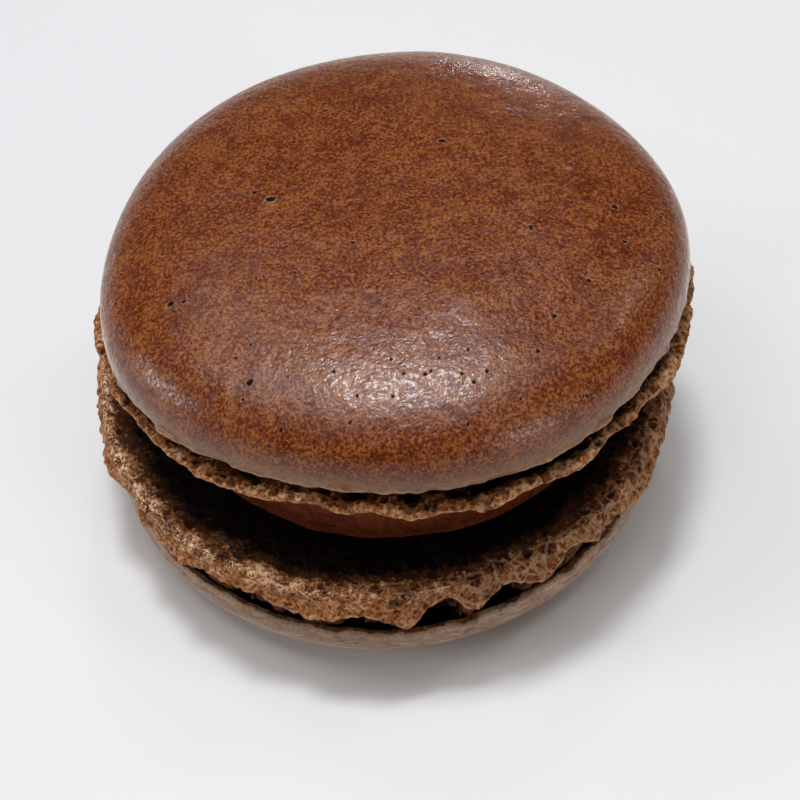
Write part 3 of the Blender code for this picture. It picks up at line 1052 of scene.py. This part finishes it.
def foot_material(name):
    """Baked foam: ochre walls and pores, painted shade in its cells and pockets, a pale brim and
    painted glints on its crest.
    """
    surface = Surface(name, 0.6)
    surface.set("Specular IOR Level", 0.12)
    grain = surface.noise(0.28, 2.5, 0.65)
    patches = surface.noise(1.8, 3.0)
    pores = surface.scaled(surface.cells(0.5), 0.08, 0.45)
    painted_side_shade = surface.attribute("painted_side_shade")

    value = surface.math("MULTIPLY_ADD", grain, 1.00, surface.product(patches, 0.45))
    value = surface.math("MULTIPLY_ADD", pores, 0.16, value)
    # Painted shade darkens the cells, pockets and holes.
    value = surface.math("MULTIPLY_ADD", surface.attribute("painted_cavity_shade"), -0.60, value)
    # Painted side shade: the feet are darker on one side and lighter on the other.
    value = surface.math("MULTIPLY_ADD", painted_side_shade, -0.08, surface.math("ADD", value, -0.27))
    tone = surface.ramp(
        value,
        (
            (0.05, (0.008, 0.0018, 0.0006)),
            (0.26, (0.080, 0.017, 0.0035)),
            (0.46, (0.185, 0.055, 0.011)),
            (0.64, (0.31, 0.118, 0.038)),
            (0.86, (0.60, 0.36, 0.21)),
        ),
    )

    # Pale walls round large bubbles, most of all on the side painted in shade.
    walls = surface.scaled(surface.cells(1.1, "DISTANCE_TO_EDGE"), 0.16, 0.03)
    walls = surface.product(walls, surface.scaled(painted_side_shade, 0.0, 1.0, 0.12, 0.7))
    tone = surface.mix(walls, tone, (0.42, 0.25, 0.14))

    # The crumb behind the lip, painted darker as shade, and the open pockets painted near black as
    # shade.
    shelf_crumb_shade = surface.frayed(surface.attribute("shelf_crumb_shade"), grain, -2.4)
    crumb = surface.ramp(grain, ((0.38, (0.045, 0.011, 0.003)), (0.62, (0.15, 0.047, 0.015))))
    tone = surface.mix(surface.scaled(shelf_crumb_shade, 0.05, 0.60, 0.0, 0.92), tone, crumb)
    hole = surface.frayed(surface.attribute("hole"), grain, -0.8)
    tone = surface.mix(surface.scaled(hole, 0.25, 0.75, 0.0, 0.97), tone, (0.006, 0.002, 0.001))

    # The pale brim of the lip, and painted glints on the froth of its crest.
    flecks = surface.scaled(surface.noise(0.7, 3.0, 0.7), 0.42, 0.58)
    brim = surface.product(surface.scaled(surface.attribute("brim"), 0.70, 0.97), flecks)
    tone = surface.mix(surface.product(brim, 0.75), tone, (0.46, 0.28, 0.16))
    glint_clumps = surface.product(surface.scaled(patches, 0.30, 0.50), surface.attribute("crest_glints"))
    wires = surface.scaled(surface.noise(0.24, 2.0, 0.6), 0.56, 0.64, 0.0, 0.8)
    froth_glints = surface.scaled(surface.cells(0.48, "DISTANCE_TO_EDGE"), 0.11, 0.02, 0.0, 0.9)
    froth_glints = surface.product(froth_glints, surface.scaled(surface.noise(0.45, 2.0, 0.6), 0.45, 0.6))
    # Painted highlight: glints on the crest's froth and wires.
    painted_glints = surface.product(surface.math("MAXIMUM", wires, froth_glints), glint_clumps)
    tone = surface.mix(painted_glints, tone, (0.90, 0.70, 0.48))

    # Painted shade: the face is painted darker, then black, towards the filling under the upper
    # shell.
    painted_inner_shade = surface.frayed(surface.attribute("painted_inner_shade"), grain, -0.9)
    tone = surface.mix(surface.scaled(painted_inner_shade, 0.02, 0.28, 0.0, 0.85), tone, (0.045, 0.014, 0.006))
    tone = surface.mix(surface.scaled(painted_inner_shade, 0.35, 0.95), tone, (0.003, 0.001, 0.0006))
    surface.colour(tone)
    surface.bump(((pores, 0.04), (grain, 0.08)))
    return surface.material


def recess_material(name):
    """The torn crumb between crust and foot: painted black as shade in places, brown in others."""
    surface = Surface(name, 0.8)
    surface.set("Specular IOR Level", 0.05)
    grain = surface.noise(0.35, 3.0, 0.7)
    value = surface.math("MULTIPLY_ADD", surface.noise(4.0, 1.0), 1.1, surface.product(grain, 1.6))
    tone = surface.ramp(
        value,
        (
            (1.32, (0.003, 0.001, 0.0005)),
            (1.48, (0.04, 0.012, 0.004)),
            (1.75, (0.18, 0.07, 0.026)),
        ),
    )
    surface.colour(tone)
    surface.bump(((grain, 0.12),))
    return surface.material


def ganache_material(name):
    """A smooth dark chocolate filling, hardly mottled."""
    surface = Surface(name, 0.55)
    surface.set("Specular IOR Level", 0.3)
    grain = surface.noise(0.3, 2.0, 0.6)
    value = surface.math("MULTIPLY_ADD", surface.noise(1.2, 3.0), 0.5, surface.product(grain, 0.5))
    tone = surface.ramp(value, ((0.40, (0.085, 0.016, 0.005)), (0.60, (0.215, 0.042, 0.013))))
    surface.colour(tone)
    surface.bump(((surface.noise(0.5, 3.0), 0.05),))
    return surface.material


# The tones of the crusts. The grain is a ramp; streaks is how strong the crust's streaks are, and
# edge is how far past the turn of the edge, in millimetres, its pale line of painted highlight
# starts.
UPPER_LOOK = dict(
    grain=(
        (0.44, (0.088, 0.009, 0.0002)),
        (0.50, (0.166, 0.035, 0.0015)),
        (0.56, (0.262, 0.086, 0.020)),
    ),
    pale=(0.36, 0.20, 0.13),
    dark=(0.075, 0.008, 0.001),
    # rim: the greyer tone down the edge, partly dust and partly painted reflection
    rim=(0.225, 0.105, 0.030),
    roughness=0.34,
    specular=0.52,
    streaks=0.0,
    edge=-1.75,
)
# The lower crust's tones are paler and greyer than the upper's, partly painted reflection of the
# pale floor on its steep sides.
LOWER_LOOK = dict(
    grain=(
        (0.44, (0.21, 0.088, 0.042)),
        (0.50, (0.30, 0.150, 0.090)),
        (0.56, (0.385, 0.222, 0.147)),
    ),
    pale=(0.52, 0.37, 0.27),
    dark=(0.15, 0.055, 0.022),
    # rim: the greyer tone down the edge, partly dust and partly painted reflection
    rim=(0.30, 0.19, 0.135),
    roughness=0.5,
    specular=0.4,
    streaks=0.75,
    edge=-1.05,
)

# ---------------------------------------- build

crust_upper = crust_material("crust_upper", UPPER_LOOK)
crust_lower = crust_material("crust_lower", LOWER_LOOK)
porous = foot_material("porous_foot")
recess_shade = recess_material("recess_shade")
chocolate = ganache_material("ganache_side")

top_crust = make_crust("top_crust", UPPER, UPPER_CRUST_COUNT, crust_upper, recess_shade, UPPER_MARKS)
top_foot = make_foot("top_foot", UPPER, UPPER_FOOT_COLUMNS, UPPER_FOOT_COUNTS, UPPER_RELIEF, porous)
bottom_crust = make_crust(
    "bottom_crust", LOWER, LOWER_CRUST_COUNT, crust_lower, recess_shade, LOWER_MARKS
)
bottom_foot = make_foot(
    "bottom_foot", LOWER, LOWER_FOOT_COLUMNS, LOWER_FOOT_COUNTS, LOWER_RELIEF, porous
)
ganache_piece = make_ganache("ganache", chocolate)

for piece, node, slot_name in (
    (top_crust, "top_shell", "baked_shell"),
    (top_foot, "top_shell", "baked_shell"),
    (bottom_crust, "bottom_shell", "baked_shell"),
    (bottom_foot, "bottom_shell", "baked_shell"),
    (ganache_piece, "filling", "ganache"),
):
    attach(piece, "root")
    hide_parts(node)

# ---------------------------------------- stage, light and camera

FLOOR_TONE = (0.80, 0.817, 0.855)
FLOOR_HALF = 1500.0

CAMERA_TARGET = Vector((0, 0, 11.8))
CAMERA_DISTANCE = 160.0
CAMERA_ELEVATION = 47.52
CAMERA_AIM = (0.71, 1.15)  # turned right, and down, from the target
CAMERA_ROLL = -2.81
FOCAL_PIXELS = 1877.22
FRAME_PIXELS = 800
SENSOR = 36.0

LIGHT_DISTANCE = 600.0
KEY_COLOUR = (0.955, 0.945, 0.95)
FILL_COLOUR = (1.0, 0.965, 0.88)
# Name, direction from the macaron, width and height in millimetres, power in watts, colour.
LIGHTS = (
    ("key", (-0.05, 0.08, 1.0), 140.0, 75.0, 1.52, KEY_COLOUR),
    ("around_key", (-0.02, 0.06, 1.0), 420.0, 190.0, 0.62, KEY_COLOUR),
    ("wide", (-0.07, -0.24, 0.97), 420.0, 150.0, 0.40, KEY_COLOUR),
    ("left", (-0.48, 0.03, 0.87), 170.0, 170.0, 0.36, KEY_COLOUR),
    ("back_right", (0.11, 0.46, 0.88), 60.0, 130.0, 0.18, KEY_COLOUR),
    ("high_right", (0.38, 0.00, 0.92), 110.0, 120.0, 0.20, KEY_COLOUR),
    ("back_left", (-0.38, 0.52, 0.77), 150.0, 150.0, 0.20, FILL_COLOUR),
    ("front_left", (-0.38, -0.52, 0.77), 150.0, 150.0, 0.14, FILL_COLOUR),
    ("front_right", (0.38, -0.52, 0.77), 150.0, 150.0, 0.06, FILL_COLOUR),
    ("right", (0.73, 0.30, 0.60), 150.0, 150.0, 0.23, FILL_COLOUR),
    ("low_left", (-0.96, -0.08, 0.24), 200.0, 150.0, 0.85, FILL_COLOUR),
    ("low_right", (0.66, -0.72, 0.24), 200.0, 200.0, 0.68, FILL_COLOUR),
    ("back", (0.20, 0.98, 0.06), 100.0, 12.0, 0.12, KEY_COLOUR),
)
WORLD_STRENGTH = 0.055


def make_floor():
    half = FLOOR_HALF * MM
    corners = [(-half, -half, 0), (half, -half, 0), (half, half, 0), (-half, half, 0)]
    data = bpy.data.meshes.new("floor")
    data.from_pydata(corners, [], [(0, 1, 2, 3)])
    surface = Surface("pale_floor", 0.5)
    surface.set("Base Color", (*FLOOR_TONE, 1))
    data.materials.append(surface.material)
    floor = link_object("floor", data)


def make_camera():
    """The camera in front, aimed a little off its target and rolled."""
    elevation = math.radians(CAMERA_ELEVATION)
    place = CAMERA_TARGET - Vector((0, math.cos(elevation), -math.sin(elevation))) * CAMERA_DISTANCE
    yaw = math.radians(CAMERA_AIM[0])
    pitch = elevation + math.radians(CAMERA_AIM[1])
    ahead = math.cos(pitch)
    forward = Vector((math.sin(yaw) * ahead, math.cos(yaw) * ahead, -math.sin(pitch)))
    level = forward.cross(Vector((0, 0, 1))).normalized()
    upright = level.cross(forward)
    roll = math.radians(CAMERA_ROLL)
    right = level * math.cos(roll) + upright * math.sin(roll)
    up = upright * math.cos(roll) - level * math.sin(roll)
    data = bpy.data.cameras.new("camera")
    data.sensor_width = SENSOR
    data.sensor_fit = "HORIZONTAL"
    data.lens = SENSOR * FOCAL_PIXELS / FRAME_PIXELS
    data.clip_start = 0.01
    camera = link_object("camera", data)
    turn = Matrix((right, up, -forward)).transposed()
    camera.matrix_world = Matrix.Translation(place * MM) @ turn.to_4x4()
    bpy.context.scene.camera = camera


def make_light(name, direction, width, height, power, colour):
    """An oval light far above or beside the macaron, facing it."""
    data = bpy.data.lights.new(name, "AREA")
    data.color = colour
    data.shape = "ELLIPSE"
    data.size = width * MM
    data.size_y = height * MM
    data.energy = power
    light = link_object(name, data)
    outward = Vector(direction).normalized()
    place = (CAMERA_TARGET + outward * LIGHT_DISTANCE) * MM
    turn = outward.to_track_quat("Z", "Y").to_matrix()
    light.matrix_world = Matrix.Translation(place) @ turn.to_4x4()


def make_world():
    world = bpy.data.worlds.new("world")
    world.use_nodes = True
    background = world.node_tree.nodes["Background"]
    background.inputs["Color"].default_value = (*FILL_COLOUR, 1)
    background.inputs["Strength"].default_value = WORLD_STRENGTH
    bpy.context.scene.world = world
    bpy.context.scene.view_settings.view_transform = "Standard"


make_floor()
make_camera()
for light_row in LIGHTS:
    make_light(*light_row)
make_world()
